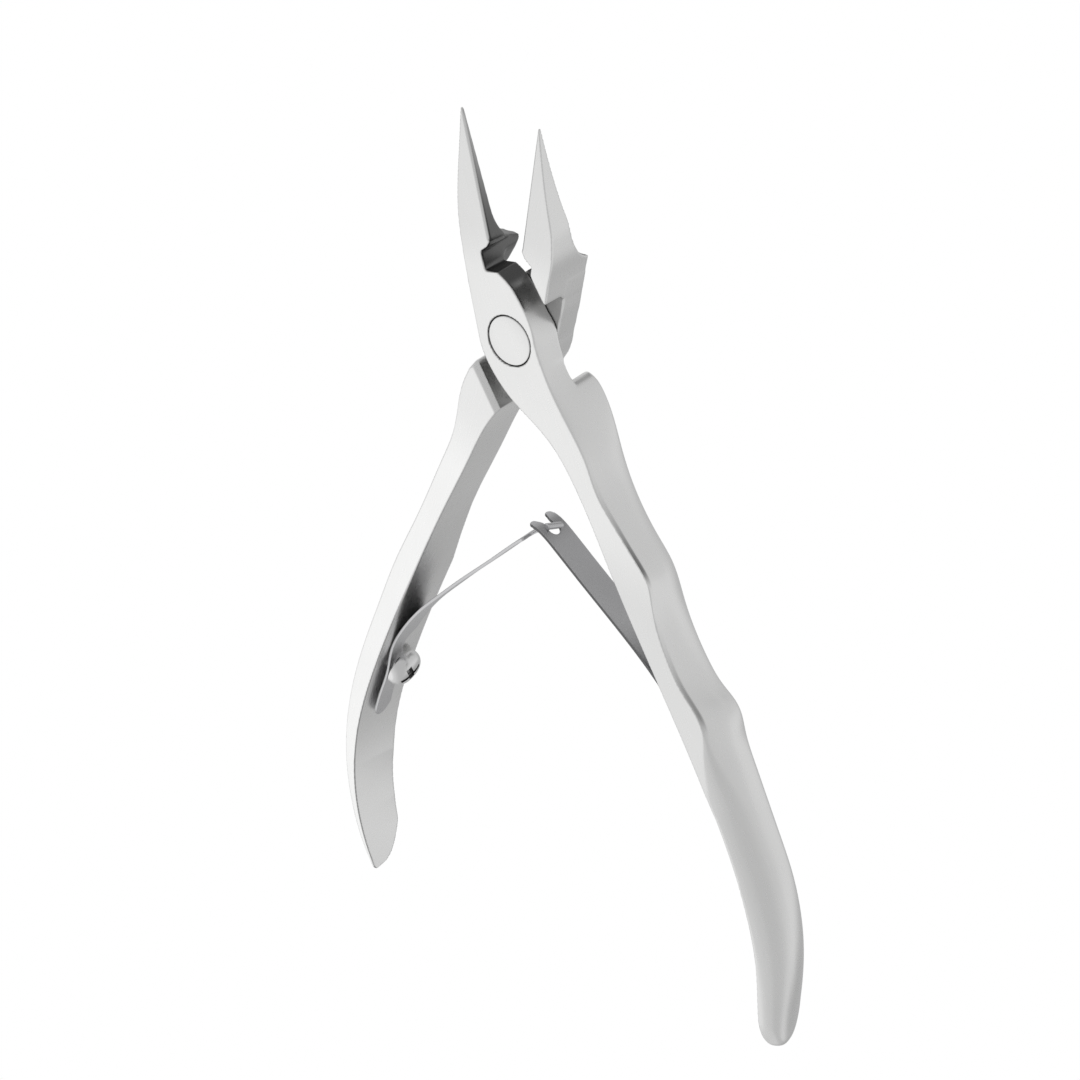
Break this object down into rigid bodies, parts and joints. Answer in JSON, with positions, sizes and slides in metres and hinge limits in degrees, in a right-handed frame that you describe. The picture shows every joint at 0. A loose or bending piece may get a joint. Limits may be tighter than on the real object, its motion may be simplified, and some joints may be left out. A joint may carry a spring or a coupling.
{
  "type": "cuticle nipper",
  "caption": "Cuticle nipper with pointed lap-joint jaws, one wavy finger-grip handle, one plain handle and an interlocked pair of leaf springs that hold it open.",
  "frame": {"origin": "on the pivot axis, at the back face the tool lies on", "axes": "+Z along the pivot towards the front face, +Y towards the jaws, +X towards the wavy handle"},
  "size_m": [0.0799, 0.1278, 0.0076],
  "materials": {
    "lever_steel": "satin-ground stainless steel, fine grain along each lever",
    "spring_steel": "rolled spring strip, grey satin",
    "screw_steel": "bright turned steel"
  },
  "bodies": {
    "front_lever": {"front_lever": "lever_steel", "fork_spring_screw": "screw_steel"},
    "rear_lever": {"rear_lever": "lever_steel", "pivot_rivet": "lever_steel", "tongue_spring_screw": "screw_steel"},
    "fork_spring": {"fork_spring": "spring_steel"},
    "tongue_spring": {"tongue_spring": "spring_steel"}
  },
  "joints": [
    {"name": "pivot", "type": "hinge", "parent": "front_lever", "child": "rear_lever", "pos_m": [0, 0, 0], "axis": [0, 0, 1], "range_deg": [-5, 22], "stiffness_Nm_per_rad": 0.5},
    {"name": "fork_spring_flex", "type": "hinge", "parent": "front_lever", "child": "fork_spring", "pos_m": [0.0226, -0.0458, 0.0038], "axis": [0, 0, 1], "range_deg": [-15, 3.5], "deforming": ["fork_spring"]},
    {"name": "tongue_spring_flex", "type": "hinge", "parent": "rear_lever", "child": "tongue_spring", "pos_m": [-0.0226, -0.0506, 0.0038], "axis": [0, 0, 1], "range_deg": [-2.5, 9.5], "deforming": ["tongue_spring"]}
  ],
  "couplings": [
    {"joint": "fork_spring_flex", "follows": "pivot", "ratio": -0.66},
    {"joint": "tongue_spring_flex", "follows": "pivot", "ratio": 0.42}
  ]
}
